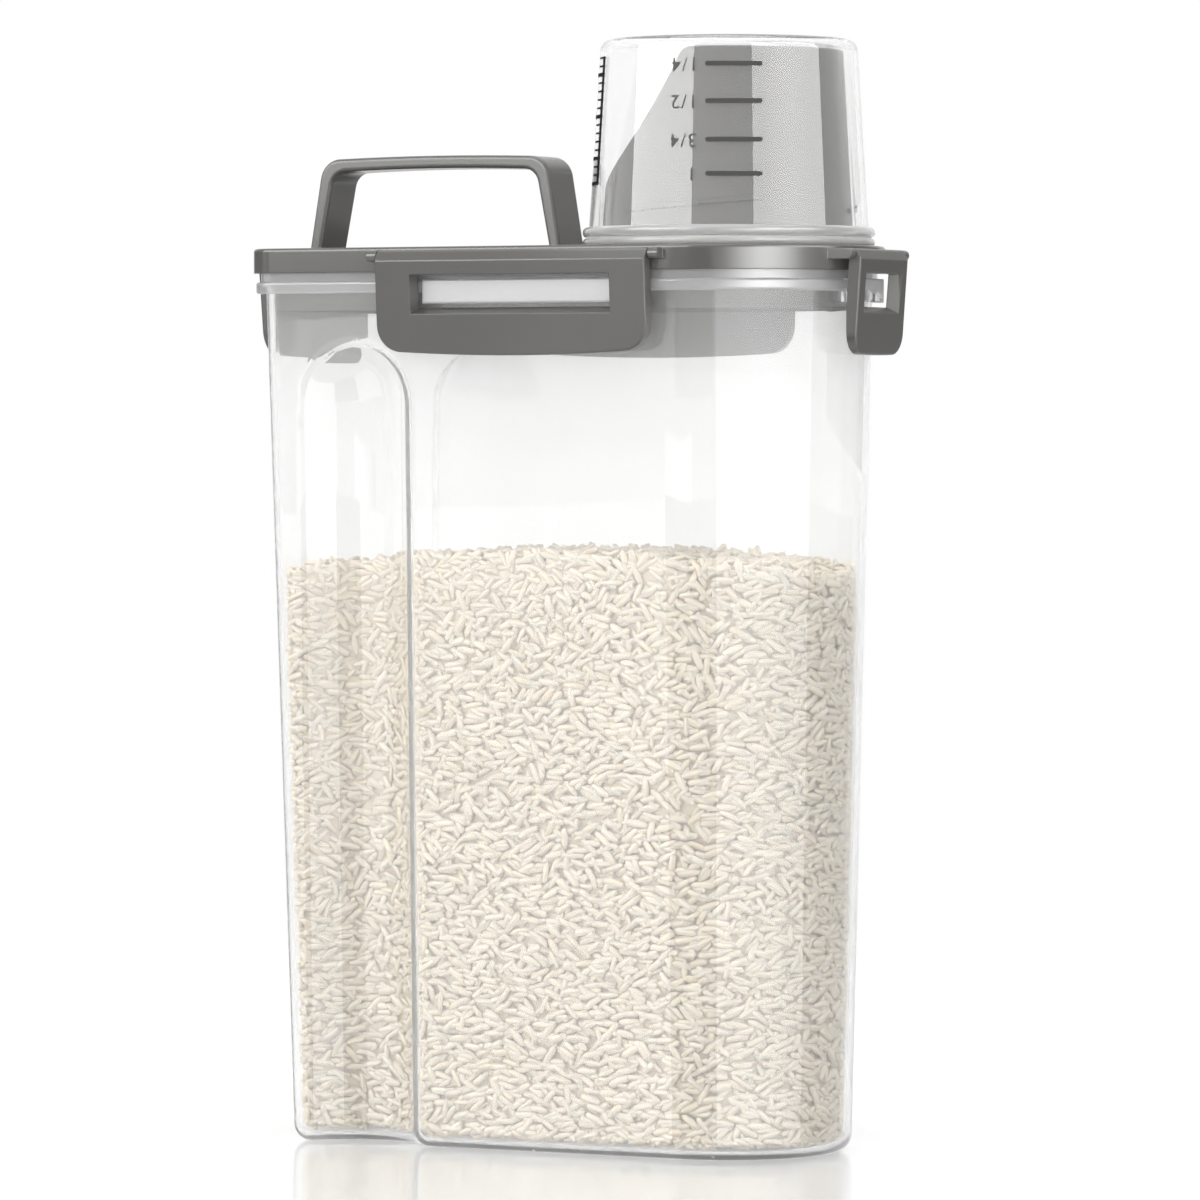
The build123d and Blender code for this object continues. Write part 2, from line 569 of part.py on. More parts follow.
def latch(name):
    """One latch flap with its knuckle and window, in place."""
    width, window, corner, sag = LATCH_SIZES[name]
    slope = math.radians(LATCH_TOP_SLOPE_ANGLE)
    touch = (HINGE_OUT + KNUCKLE_RADIUS * math.cos(slope), HINGE_Z + KNUCKLE_RADIUS * math.sin(slope))
    face_top = touch[1] - (LATCH_OUTER - touch[0]) * math.cos(slope) / math.sin(slope)
    body = side_prism([
        touch,
        (LATCH_OUTER, face_top),
        (LATCH_OUTER - LATCH_LEAN, LATCH_BOTTOM_Z),
        (-LATCH_FOOT_INSET, LATCH_BOTTOM_Z),
        (-LATCH_FOOT_INSET, SILL_Z),
        (LATCH_INNER, LATCH_INNER_TOP_Z),
        (HINGE_OUT - KNUCKLE_RADIUS, HINGE_Z),
    ], width)
    body += x_rod(KNUCKLE_RADIUS, width, HINGE_OUT, HINGE_Z)
    reach = LATCH_OUTER + CUT_OVERRUN
    body &= extrude(Plane.XZ * latch_face(width, corner, sag), amount=reach, both=True)
    outer = body.faces().filter_by(lambda f: f.normal_at().Y < -CORNER_MID_SHARE).sort_by(SortBy.AREA)[-1]
    body = fillet(outer.edges(), LATCH_EDGE_FILLET)
    body -= window_cutter(window)
    body -= x_rod(PIN_RADIUS + PIN_CLEARANCE, width + CUT_OVERRUN, HINGE_OUT, HINGE_Z)
    return latch_frame(name) * body


def window_cutter(window):
    """Through window, with a sill and sides that open outward."""
    mid_z = (WINDOW_TOP_Z + SILL_Z) / 2
    straight = Pos(0, 0, mid_z) * Box(window, 2 * (LATCH_OUTER + CUT_OVERRUN), WINDOW_TOP_Z - SILL_Z)
    depth = LATCH_OUTER - LATCH_INNER
    half = window / 2
    inner = Plane.XZ.offset(LATCH_INNER - LATCH_LEAN / 2) * make_face(Polyline(
        (-half, SILL_Z), (half, SILL_Z), (half, WINDOW_TOP_Z), (-half, WINDOW_TOP_Z), close=True))
    flare = half + WINDOW_SIDE_FLARE
    outer = Plane.XZ.offset(LATCH_INNER - LATCH_LEAN / 2 + depth) * make_face(Polyline(
        (-flare, SILL_OUTER_Z), (flare, SILL_OUTER_Z), (flare, WINDOW_TOP_Z), (-flare, WINDOW_TOP_Z),
        close=True))
    flared = loft([inner, outer], ruled=True)
    beyond = extrude(outer, amount=CUT_OVERRUN)
    return straight + flared + beyond


def hinge_pin(name):
    """The pin of one latch, in place."""
    length = LATCH_SIZES[name][0] + 2 * (EAR_GAP + EAR_WIDTH - EAR_END_WALL - PIN_END_CLEARANCE)
    return latch_frame(name) * x_rod(PIN_RADIUS, length, HINGE_OUT, HINGE_Z)


def write(name, shape):
    """Save one piece as a STEP file."""
    export_step(shape, f"{PARTS_FOLDER}/{name}.step")


def main():
    """Build and save every piece."""
    os.makedirs(PARTS_FOLDER, exist_ok=True)
    write("tub", tub())
    write("rice_fill", rice_fill())
    write("lid", lid())
    write("lid_gasket", lid_gasket())
    write("handle", handle())
    write("pour_spout", pour_spout())
    write("spout_seal", spout_seal())
    write("measuring_cup", measuring_cup())
    for name in LATCH_SIZES:
        write(f"latch_{name}", latch(name))
        write(f"hinge_pin_{name}", hinge_pin(name))


main()
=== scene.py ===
"""Looks of the rice container: a clear tub of rice under a latched grey lid with a spout and a cup."""

import logging
import math
from collections.abc import Callable
from dataclasses import dataclass, field
from enum import Enum
from itertools import product

import bmesh
import bpy
import numpy as np
from mathutils import Matrix, Vector
from mathutils.bvhtree import BVHTree


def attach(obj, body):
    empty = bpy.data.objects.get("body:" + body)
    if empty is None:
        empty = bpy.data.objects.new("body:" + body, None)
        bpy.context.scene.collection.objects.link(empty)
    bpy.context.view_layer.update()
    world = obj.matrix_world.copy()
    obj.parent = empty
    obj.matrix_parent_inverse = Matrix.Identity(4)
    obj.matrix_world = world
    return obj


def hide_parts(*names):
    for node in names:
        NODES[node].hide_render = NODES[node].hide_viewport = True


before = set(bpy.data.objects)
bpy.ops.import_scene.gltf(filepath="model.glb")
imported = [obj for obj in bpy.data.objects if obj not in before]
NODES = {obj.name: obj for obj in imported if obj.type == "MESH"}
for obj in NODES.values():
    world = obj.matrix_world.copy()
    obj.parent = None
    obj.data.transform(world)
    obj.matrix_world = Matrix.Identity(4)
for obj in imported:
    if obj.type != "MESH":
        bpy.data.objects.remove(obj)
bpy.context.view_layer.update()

LOG = logging.getLogger("rice_container")

Triple = tuple[float, float, float]
Colour = Triple
Pair = tuple[float, float]
Row = tuple[float, ...]
Names = tuple[str, ...]
Sockets = dict[str | int, object]
Test = Callable[[Vector], bool]
Piece = bpy.types.Object
Material = bpy.types.Material
MM = 0.001
ORIGIN = (0.0, 0.0, 0.0)
UP = Vector((0.0, 0.0, 1.0))
WHITE = (1.0, 1.0, 1.0, 1.0)
STYRENE_IOR = 1.49
SILICONE_IOR = 1.41
RICE_IOR = 1.45
FLOOR_IOR = 1.45
NOISE_ROUGHNESS = 0.55
MERGE_WITHIN = 1e-6
SPOUT_AXIS_X = 44.2 * MM
TONE = "tone"
SIDES = ("front", "rear", "grip_end", "spout_end")


def math_node(operation: str, swapped: bool = False) -> Callable[["Value", object], "Value"]:
    """Return an operator of Value that adds one Math node; swapped, the other side comes first."""

    def combine(self: "Value", other: object) -> "Value":
        """Combine this value with another value or a number."""
        pair = (other, self) if swapped else (self, other)
        return self.graph.node("ShaderNodeMath", dict(enumerate(pair)), {"operation": operation})

    return combine


class Value:
    """A socket that takes part in Python arithmetic; comparisons give 1 where they hold."""

    def __init__(self, graph: "Graph", socket: bpy.types.NodeSocket | None) -> None:
        """Wrap one output socket of a graph; an end node has none."""
        self.graph = graph
        self.socket = socket

    __add__ = math_node("ADD")
    __radd__ = math_node("ADD", swapped=True)
    __sub__ = math_node("SUBTRACT")
    __rsub__ = math_node("SUBTRACT", swapped=True)
    __mul__ = math_node("MULTIPLY")
    __lt__ = math_node("LESS_THAN")
    __gt__ = math_node("GREATER_THAN")


class Graph:
    """A node tree that is filled by Python expressions."""

    def __init__(self, tree: bpy.types.NodeTree) -> None:
        """Take over a tree and empty it."""
        self.tree = tree
        self.tree.nodes.clear()

    def node(
        self,
        kind: str,
        sockets: Sockets | None = None,
        settings: dict[str, object] | None = None,
        out: str | int = 0,
    ) -> Value:
        """Add a node.

        Args:
            kind: Blender's name of the node type.
            sockets: a number, colour or Value for each named or numbered input.
            settings: properties of the node, set before its sockets.
            out: the output that is returned.

        Returns:
            The chosen output as a Value.
        """
        made = self.tree.nodes.new(kind)
        for key, setting in (settings or {}).items():
            setattr(made, key, setting)
        for key, given in (sockets or {}).items():
            if isinstance(given, Value):
                self.tree.links.new(given.socket, made.inputs[key])
            else:
                made.inputs[key].default_value = given
        return Value(self, made.outputs[out] if made.outputs else None)

    def place(self) -> Value:
        """Return the object coordinates, in metres."""
        return self.node("ShaderNodeTexCoord", out="Object")

    def along_x(self, vector: Value) -> Value:
        """Return the X part of a vector."""
        return self.node("ShaderNodeSeparateXYZ", {0: vector}, out="X")

    def distance(self, point: Triple) -> Value:
        """Return the distance from a point in object coordinates."""
        ends = {0: self.place(), 1: point}
        return self.node("ShaderNodeVectorMath", ends, {"operation": "DISTANCE"}, out="Value")

    def smooth_step(self, value: Value, low: float, high: float) -> Value:
        """Return a share that grows smoothly from 0 at a low value to 1 at a high one."""
        sockets = {"Value": value, "From Min": low, "From Max": high}
        settings = {"interpolation_type": "SMOOTHSTEP", "clamp": True}
        return self.node("ShaderNodeMapRange", sockets, settings)

    def noise(self, scale: float, detail: float = 2.0, where: Value | None = None) -> Value:
        """Return a noise of the given scale per metre, about 0.5 on average."""
        sockets = {"Vector": where or self.place(), "Scale": scale, "Detail": detail}
        return self.node("ShaderNodeTexNoise", {**sockets, "Roughness": NOISE_ROUGHNESS})

    def around(self, middle: float, by: Value, share: float) -> Value:
        """Return a number that a noise moves by up to a share about its middle."""
        return by * (2.0 * share * middle) + (1.0 - share) * middle

    def mix_colour(self, share: Value, first: Colour, second: Colour) -> Value:
        """Return a colour between two colours."""
        return self.node(
            "ShaderNodeMix",
            {0: share, 6: (*first, 1.0), 7: (*second, 1.0)},
            {"data_type": "RGBA", "clamp_factor": True},
            out=2,
        )

    def mottle(self, colour: Colour, by: Value, darkest: float, lightest: float = 1.0) -> Value:
        """Return a colour that a noise takes from its darkest to its lightest share."""
        ends = [tuple(share * part for part in colour) for share in (darkest, lightest)]
        return self.mix_colour(by, *ends)

    def bump(self, height: Value, strength: float, distance: float, normal: Value | None = None) -> Value:
        """Return a normal, plain or given, that is disturbed by a height."""
        sockets = {"Height": height, "Strength": strength, "Distance": distance}
        if normal:
            sockets["Normal"] = normal
        return self.node("ShaderNodeBump", sockets)

    def glow(self, strength: Value | float) -> Value:
        """Return a white emission."""
        return self.node("ShaderNodeEmission", {"Color": WHITE, "Strength": strength})

    def surface(self, shader: Value) -> None:
        """Join a shader to the material's output."""
        self.node("ShaderNodeOutputMaterial", {"Surface": shader})


def start_material(name: str) -> tuple[Material, Graph]:
    """Return a new material and its empty graph."""
    material = bpy.data.materials.new(name)
    material.use_nodes = True
    return material, Graph(material.node_tree)


@dataclass(frozen=True)
class Finish:
    """A named finish; each kind says what goes into its shader."""

    name: str

    def inputs(self, graph: Graph) -> Sockets:
        """Return the shader's inputs by name."""
        raise NotImplementedError

    def material(self) -> Material:
        """Return the finish as a new material."""
        material, graph = start_material(self.name)
        graph.surface(graph.node("ShaderNodeBsdfPrincipled", self.inputs(graph)))
        return material


@dataclass(frozen=True)
class ClearPlastic(Finish):
    """Clear styrene with faint flow marks from moulding and, if asked for, milky outlines."""

    tint: Colour = (0.992, 0.994, 0.992)
    roughness: float = 0.025
    clearness: float = 0.87
    haze_scale: float = 60.0
    flow: float = 0.05
    flow_scale: float = 14.0
    flow_stretch: Triple = (1.0, 1.0, 0.35)
    milkiness: float = 0.0
    milk_roughness: float = 0.35

    def inputs(self, graph: Graph) -> Sockets:
        """Return the clear shader's inputs."""
        where = graph.node("ShaderNodeMapping", {"Vector": graph.place(), "Scale": self.flow_stretch})
        flow = graph.noise(self.flow_scale, 1.0, where)
        haze = graph.noise(self.haze_scale)
        return {
            "Base Color": graph.mottle(self.tint, haze, darkest=0.985),
            "Roughness": graph.around(self.roughness, haze, share=0.3),
            "Transmission Weight": self.clearness,
            "IOR": STYRENE_IOR,
            "Sheen Weight": self.milkiness,
            "Sheen Roughness": self.milk_roughness,
            "Normal": graph.bump(flow, self.flow, distance=10.0 * MM),
        }


@dataclass(frozen=True)
class MilkyAndPaintedLightPlastic(Finish):
    """See-through plastic that is milky: truly so for the soft silicone rings; on clear pieces its milky
    white is painted light standing in for light scattered and reflected in them.
    """

    # this default grey tint is used on the tub's clear flange, where it is painted light
    tint: Colour = (0.80, 0.80, 0.80)
    roughness: float = 0.12
    clearness: float = 0.62
    ior: float = STYRENE_IOR
    cloud_scale: float = 120.0
    darkest: float = 0.95
    unevenness: float = 0.2
    relief: float = 1.0 * MM

    def inputs(self, graph: Graph) -> Sockets:
        """Return the milky shader's inputs."""
        cloud = graph.noise(self.cloud_scale)
        return {
            "Base Color": graph.mottle(self.tint, cloud, self.darkest),
            "Roughness": graph.around(self.roughness, cloud, self.unevenness),
            "Transmission Weight": self.clearness,
            "IOR": self.ior,
            "Normal": graph.bump(cloud, strength=0.05, distance=self.relief),
        }


@dataclass(frozen=True)
class SatinPlastic(Finish):
    """Grey moulded plastic with a fine spark-eroded grain."""

    colour: Colour = (0.116, 0.113, 0.108)
    roughness: float = 0.14
    unevenness: float = 0.04
    cloud_scale: float = 22.0
    cloud_share: float = 0.7
    grain: float = 0.012
    grain_scale: float = 2600.0
    edge: float = 0.45 * MM
    crown: float = 0.0

    def inputs(self, graph: Graph) -> Sockets:
        """Return the satin shader's inputs."""
        cloud = graph.noise(self.cloud_scale, 3.0)
        fine = graph.noise(self.grain_scale)
        mixed = cloud * self.cloud_share + fine * (1.0 - self.cloud_share)
        return {
            "Base Color": graph.mottle(self.colour, mixed, darkest=0.94, lightest=1.07),
            "Roughness": (cloud + fine - 1.0) * self.unevenness + self.roughness,
            "IOR": STYRENE_IOR,
            "Normal": graph.bump(fine, self.grain, 0.2 * MM, self._softened(graph)),
        }

    def _softened(self, graph: Graph) -> Value:
        """Return a normal with softened edges, and with long faces a little crowned along X."""
        rounded = graph.node("ShaderNodeBevel", {"Radius": self.edge}, {"samples": 4})
        if not self.crown:
            return rounded
        along = graph.along_x(graph.place())
        return graph.bump(along * along * (-0.5 * self.crown), 1.0, 1.0, rounded)


@dataclass(frozen=True)
class RiceSkin(Finish):
    """Polished rice whose tone differs from grain to grain."""

    pale: Colour = (0.735, 0.66, 0.54)
    cream: Colour = (0.625, 0.53, 0.40)
    roughness: float = 0.5
    tone_share: float = 0.8
    chalk_scale: float = 420.0
    relief_scale: float = 1800.0
    translucence: float = 0.35
    glow_colour: Colour = (1.0, 0.75, 0.5)
    glow_reach: float = 1.2 * MM

    def inputs(self, graph: Graph) -> Sockets:
        """Return the rice shader's inputs."""
        tone = graph.node("ShaderNodeAttribute", settings={"attribute_name": TONE}, out="Fac")
        chalk = graph.noise(self.chalk_scale)
        mixed = tone * self.tone_share + chalk * (1.0 - self.tone_share)
        return {
            "Base Color": graph.mix_colour(mixed, self.cream, self.pale),
            "Roughness": graph.around(self.roughness, chalk, share=0.16),
            "IOR": RICE_IOR,
            "Subsurface Weight": self.translucence,
            "Subsurface Radius": self.glow_colour,
            "Subsurface Scale": self.glow_reach,
            "Normal": graph.bump(graph.noise(self.relief_scale), strength=0.12, distance=0.3 * MM),
        }


@dataclass(frozen=True)
class PinSteel(Finish):
    """Drawn steel wire with fine draw marks."""

    colour: Colour = (0.46, 0.46, 0.45)
    roughness: float = 0.32
    mark_scale: float = 900.0

    def inputs(self, graph: Graph) -> Sockets:
        """Return the steel shader's inputs."""
        marks = graph.noise(self.mark_scale)
        return {
            "Base Color": graph.mottle(self.colour, marks, darkest=0.85),
            "Metallic": 1.0,
            "Roughness": graph.around(self.roughness, marks, share=0.25),
            "Normal": graph.bump(marks, strength=0.08, distance=0.2 * MM),
        }


@dataclass(frozen=True)
class PrintInk(Finish):
    """Screen ink, a little uneven where the mesh held less of it."""

    colour: Colour = (0.05, 0.05, 0.05)
    roughness: float = 0.8
    specular: float = 0.05
    patch_scale: float = 1500.0
    thin_gain: float = 1.25
    thin_lift: float = 0.01

    def inputs(self, graph: Graph) -> Sockets:
        """Return the ink shader's inputs."""
        patch = graph.noise(self.patch_scale)
        thin = tuple(self.thin_gain * part + self.thin_lift for part in self.colour)
        return {
            "Base Color": graph.mix_colour(patch, self.colour, thin),
            "Roughness": graph.around(self.roughness, patch, share=0.125),
            "Specular IOR Level": self.specular,
            "Normal": graph.bump(patch, strength=0.1, distance=0.1 * MM),
        }


class Bench:
    """Moves that model one new piece at a time."""

    @staticmethod
    def clear() -> None:
        """Deselect everything."""
        bpy.ops.object.select_all(action="DESELECT")

    @classmethod
    def take(cls, piece: Piece) -> None:
        """Make one piece the only selected and active one."""
        cls.clear()
        piece.select_set(True)
        bpy.context.view_layer.objects.active = piece

    @classmethod
    def edit(cls, piece: Piece) -> None:
        """Open a piece in edit mode with all of it selected."""
        cls.take(piece)
        bpy.ops.object.mode_set(mode="EDIT")
        bpy.ops.mesh.select_all(action="SELECT")

    @staticmethod
    def done() -> None:
        """Leave edit mode."""
        bpy.ops.object.mode_set(mode="OBJECT")

    @classmethod
    def plane(cls, size: float = 1.0, **place: Triple) -> Piece:
        """Return a new square, at a location and rotation if they are given."""
        cls.clear()
        bpy.ops.mesh.primitive_plane_add(size=size, **place)
        return bpy.context.object

    @classmethod
    def sheet(cls, wide: float, high: float) -> Piece:
        """Return a new flat sheet, open in edit mode with all of it selected."""
        made = cls.plane()
        cls.edit(made)
        bpy.ops.transform.resize(value=(wide, high, 1.0), center_override=ORIGIN)
        return made

    @staticmethod
    def pick(piece: Piece, test: Test) -> None:
        """Select the points that pass a test, in a piece that is open in edit mode."""
        bpy.ops.mesh.select_mode(type="VERT")
        bpy.ops.mesh.select_all(action="DESELECT")
        shape = bmesh.from_edit_mesh(piece.data)
        for point in shape.verts:
            point.select_set(test(point.co))
        shape.select_flush_mode()
        bmesh.update_edit_mesh(piece.data)

    @classmethod
    def apply(cls, piece: Piece) -> None:
        """Apply all modifiers of a piece in order."""
        cls.take(piece)
        for name in [modifier.name for modifier in piece.modifiers]:
            bpy.ops.object.modifier_apply(modifier=name)

    @classmethod
    def settle(cls, piece: Piece) -> None:
        """Put a piece's place into its mesh."""
        cls.take(piece)
        bpy.ops.object.transform_apply(location=True, rotation=True, scale=True)

    @classmethod
    def join(cls, pieces: list[Piece]) -> Piece:
        """Join pieces into the first one and return it."""
        cls.clear()
        for piece in pieces:
            piece.select_set(True)
        bpy.context.view_layer.objects.active = pieces[0]
        bpy.ops.object.join()
        return pieces[0]


def new_object(name: str, data: bpy.types.ID) -> Piece:
    """Return a new object that stands in the scene."""
    made = bpy.data.objects.new(name, data)
    bpy.context.scene.collection.objects.link(made)
    return made


def dress(piece: Piece, material: Material) -> None:
    """Give a piece or a frame node one material."""
    if not piece.material_slots:
        piece.data.materials.append(material)
        return
    for slot in piece.material_slots:
        slot.material = material


def dress_faces(node: Piece, material: Material, test: Test) -> None:
    """Give some faces of a dressed frame node another material.

    Args:
        node: the frame node.
        material: what its chosen faces get.
        test: says whether a face's middle is chosen.
    """
    node.data.materials.append(material)
    index = len(node.data.materials) - 1
    for face in node.data.polygons:
        if test(face.center):
            face.material_index = index


def set_tone(mesh: bpy.types.Mesh, tones: np.ndarray) -> None:
    """Write the tone of each point of a rice mesh."""
    attribute = mesh.attributes.new(TONE, "FLOAT", "POINT")
    attribute.data.foreach_set("value", tones.astype(np.float32))


def plan_direction(degrees: float) -> Vector:
    """Return the outward direction at an angle round from the front towards the spout end."""
    angle = math.radians(degrees)
    return Vector((math.sin(angle), -math.cos(angle), 0.0))


class RiceSide(Enum):
    """The parts of the rice that are separate pieces."""

    FRONT = "front"
    REAR = "rear"
    SPOUT_END = "spout_end"
    GRIP_END = "grip_end"
    TOP = "top"
    BASE = "base"


@dataclass(frozen=True)
class Grain:
    """Where one grain lies and how large it is."""

    centre: Vector
    turn: Matrix
    size: float


@dataclass
class RiceHeap:
    """The rice: grains lying against the walls and on top of a solid core.

    Tilts, rolls, spreads and tilt limits are in degrees. A step is the side of the square in which one
    grain is tried.
    """

    grain_length: float = 6.5 * MM
    grain_width: float = 2.15 * MM
    grain_thickness: float = 1.65 * MM
    shoulder_growth: Triple = (1.14, 1.10, 1.06)
    belly_shift: float = 0.06
    size_spread: float = 0.07
    size_limits: Pair = (0.8, 1.18)
    stout_spread: float = 0.06
    stout_limits: Pair = (0.85, 1.15)
    tone_shape: Pair = (4.0, 2.2)
    roll_spread: float = 25.0
    spacing: float = 1.5 * MM
    spots: Row = (-0.74, -0.37, 0.0, 0.37, 0.74)
    outline_places: Row = (-0.88, -0.45, 0.0, 0.45, 0.88)
    outline_widths: Row = (0.55, 0.95, 1.05, 0.95, 0.55)
    furthest_push: float = 2.0 * MM
    upright_below: float = 0.6
    long_side_from: float = 0.7
    wall_depths: Row = (0.95 * MM, 1.2 * MM, 1.5 * MM, 1.9 * MM)
    wall_steps: Row = (1.2 * MM, 1.3 * MM, 1.4 * MM, 1.5 * MM)
    wall_tilts: Row = (6.0, 10.0, 14.0, 18.0)
    wall_tilt_limit: float = 30.0
    wall_top_gap: float = 0.4 * MM
    lying_spread: float = 34.0
    stray_share: float = 0.12
    stray_spread: float = 90.0
    base_layers: int = 2
    base_step: float = 1.6 * MM
    base_tilt: float = 5.0
    heap_depths: Row = (0.3 * MM, 0.9 * MM, 1.7 * MM)
    heap_step: float = 1.2 * MM
    heap_tilt: float = 9.0
    heap_tilt_limit: float = 38.0
    heap_unevenness: float = 0.3 * MM
    heap_wall_gap: float = 0.8 * MM
    proud_height: float = 0.7 * MM
    proud_tilt: float = 22.0
    proud_rarity: int = 14
    core_inset: float = 2.2 * MM
    core_cover: float = 1.8 * MM
    core_smooth_angle: float = 40.0
    # partly painted light: the core's tone is paler than the average grain, lifting the shade in the gaps
    # between grains
    core_tone_with_painted_lift: float = 0.75
    middle_height: float = 167.3 * MM
    end_fall: float = 4.8 * MM
    half_length: float = 80.0 * MM
    stretch_from: float = 145.0 * MM
    seed: int = 7
    pieces: list[Piece] = field(default_factory=list)
    _taken: dict[tuple[int, ...], list[Vector]] = field(default_factory=dict)

    def build(self) -> list[Piece]:
        """Model the core and the grains.

        Returns:
            The pieces that stand for the rice.
        """
        node = NODES["rice_fill"]
        self._rng = np.random.default_rng(self.seed)
        self._read(node)
        corners, faces = self._model_grain()
        self.pieces = [self._core(node)]
        for side, batch in self._lay_grains().items():
            self.pieces.append(self._merge(f"rice_grains_{side.value}", batch, corners, faces))
        return self.pieces

    def dress(self) -> None:
        """Give the rice its finish and let it ride in the tub."""
        skin = RiceSkin("polished_rice").material()
        for piece in self.pieces:
            dress(piece, skin)
            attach(piece, "tub")
            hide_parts("rice_fill")

    def _read(self, node: Piece) -> None:
        """Keep the frame node's surface for placing grains."""
        mesh = node.data
        mesh.calc_loop_triangles()
        points = np.empty(len(mesh.vertices) * 3)
        mesh.vertices.foreach_get("co", points)
        corners = np.empty(len(mesh.loop_triangles) * 3, dtype=np.int64)
        mesh.loop_triangles.foreach_get("vertices", corners)
        self._points = points.reshape(-1, 3)
        self._triangles = corners.reshape(-1, 3)
        self._tree = BVHTree.FromPolygons(self._points.tolist(), self._triangles.tolist())
        first, second, third = (self._points[self._triangles[:, i]] for i in range(3))
        crossed = np.cross(second - first, third - first)
        self._areas = np.linalg.norm(crossed, axis=1) / 2.0
        self._normals = crossed / np.maximum(2.0 * self._areas[:, None], 1e-15)

    def heap_height(self, x: float) -> float:
        """Return the height of the rice at a place along the tub."""
        return self.middle_height - self.end_fall * (x / self.half_length) ** 2

    def _model_grain(self) -> tuple[np.ndarray, list[tuple[int, ...]]]:
        """Model one grain with blunt ends and one flatter side.

        Returns:
            Its points, lying along Z, and its faces.
        """
        Bench.clear()
        bpy.ops.mesh.primitive_uv_sphere_add(segments=6, ring_count=4, radius=1.0)
        grain = bpy.context.object
        Bench.edit(grain)
        Bench.pick(grain, lambda at: 0.5 < abs(at.z) < 0.9)
        bpy.ops.transform.resize(value=self.shoulder_growth, center_override=ORIGIN)
        Bench.pick(grain, lambda at: abs(at.z) < 0.1)
        bpy.ops.transform.translate(value=(self.belly_shift, 0.0, 0.0))
        bpy.ops.mesh.select_all(action="SELECT")
        half = (self.grain_width / 2, self.grain_thickness / 2, self.grain_length / 2)
        bpy.ops.transform.resize(value=half, center_override=ORIGIN)
        Bench.done()
        corners = np.array([tuple(v.co) for v in grain.data.vertices])
        faces = [tuple(p.vertices) for p in grain.data.polygons]
        bpy.data.objects.remove(grain)
        return corners, faces

    def _core(self, node: Piece) -> Piece:
        """Model the solid middle of the rice, seen only between grains."""
        core = new_object("rice_core", node.data.copy())
        core.data.materials.clear()
        Bench.edit(core)
        bpy.ops.mesh.customdata_custom_splitnormals_clear()
        bpy.ops.mesh.remove_doubles(threshold=MERGE_WITHIN)
        Bench.done()
        shrink = core.modifiers.new("shrink", "DISPLACE")
        shrink.strength = -self.core_inset
        shrink.mid_level = 0.0
        Bench.apply(core)
        for corner in core.data.vertices:
            if corner.co.z > self.stretch_from:
                corner.co.z = self.heap_height(corner.co.x) - self.core_cover
        Bench.take(core)
        bpy.ops.object.shade_smooth_by_angle(angle=math.radians(self.core_smooth_angle))
        # the core's paler tone lifts the shade seen between grains: painted light
        set_tone(core.data, np.full(len(core.data.vertices), self.core_tone_with_painted_lift))
        return core

    def _fill_top(self, at: Vector) -> float:
        """Return the height of the frame's rice over a place."""
        hit = self._tree.ray_cast(Vector((at.x, at.y, 1.0)), -UP)[0]
        return hit.z if hit else self.middle_height

    def _depth(self, at: Vector) -> float:
        """Return how deep a point lies behind the rice's wall or base."""
        probe = Vector((at.x, at.y, min(at.z, self.stretch_from)))
        near, normal, _, distance = self._tree.find_nearest(probe)
        return distance if (probe - near).dot(normal) < 0.0 else -distance

    def _draw(self, wanted: np.ndarray, step: float) -> list[tuple[Vector, Vector]]:
        """Draw points on chosen triangles.

        Args:
            wanted: which triangles are drawn from.
            step: the side of the square that each point stands for.

        Returns:
            Pairs of point and outward normal.
        """
        index = np.flatnonzero(wanted)
        areas = self._areas[index]
        count = int(areas.sum() / step**2)
        chosen = self._rng.choice(index, count, p=areas / areas.sum())
        first, second = self._rng.random(count), self._rng.random(count)
        over = first + second > 1.0
        first[over], second[over] = 1.0 - first[over], 1.0 - second[over]
        a, b, c = (self._points[self._triangles[chosen, i]] for i in range(3))
        points = a + first[:, None] * (b - a) + second[:, None] * (c - a)
        return [(Vector(p), Vector(n)) for p, n in zip(points.tolist(), self._normals[chosen].tolist())]

    def _lay_grains(self) -> dict[RiceSide, list[Grain]]:
        """Lay grains against the walls, on the base and on top.

        Returns:
            The grains of each side.
        """
        batches = {side: [] for side in RiceSide}
        upright = np.abs(self._normals[:, 2]) < self.upright_below
        under = self._normals[:, 2] <= -self.upright_below
        for depth, step, tilt in zip(self.wall_depths, self.wall_steps, self.wall_tilts):
            self._taken = {}
            for at, out in self._draw(upright, step):
                self._try_wall(batches, at, out, depth, tilt)
        for depth in self.wall_depths[: self.base_layers]:
            self._taken = {}
            for at, out in self._draw(under, self.base_step):
                axis = self._any_way_round(self.base_tilt)
                self._try(batches[RiceSide.BASE], at - out * depth, axis, out)
        low, high = self._points.min(axis=0), self._points.max(axis=0)
        tries = int((high[0] - low[0]) * (high[1] - low[1]) / self.heap_step**2)
        for depth in (*self.heap_depths, -self.proud_height):
            self._taken = {}
            for _ in range(tries // self.proud_rarity if depth < 0.0 else tries):
                x, y = self._rng.uniform(low[:2], high[:2])
                self._try_heap(batches[RiceSide.TOP], float(x), float(y), depth)
        return batches

    def _slope(self, spread: float, limit: float) -> float:
        """Draw a slope from a spread of angles about level, up to a limit."""
        return math.tan(math.radians(float(np.clip(self._rng.normal(0.0, spread), -limit, limit))))

    def _any_way_round(self, tilt: float) -> Vector:
        """Draw the axis of a grain that lies any way round, nearly level."""
        angle = self._rng.uniform(0.0, math.pi)
        return Vector((math.cos(angle), math.sin(angle), self._slope(tilt, self.heap_tilt_limit)))

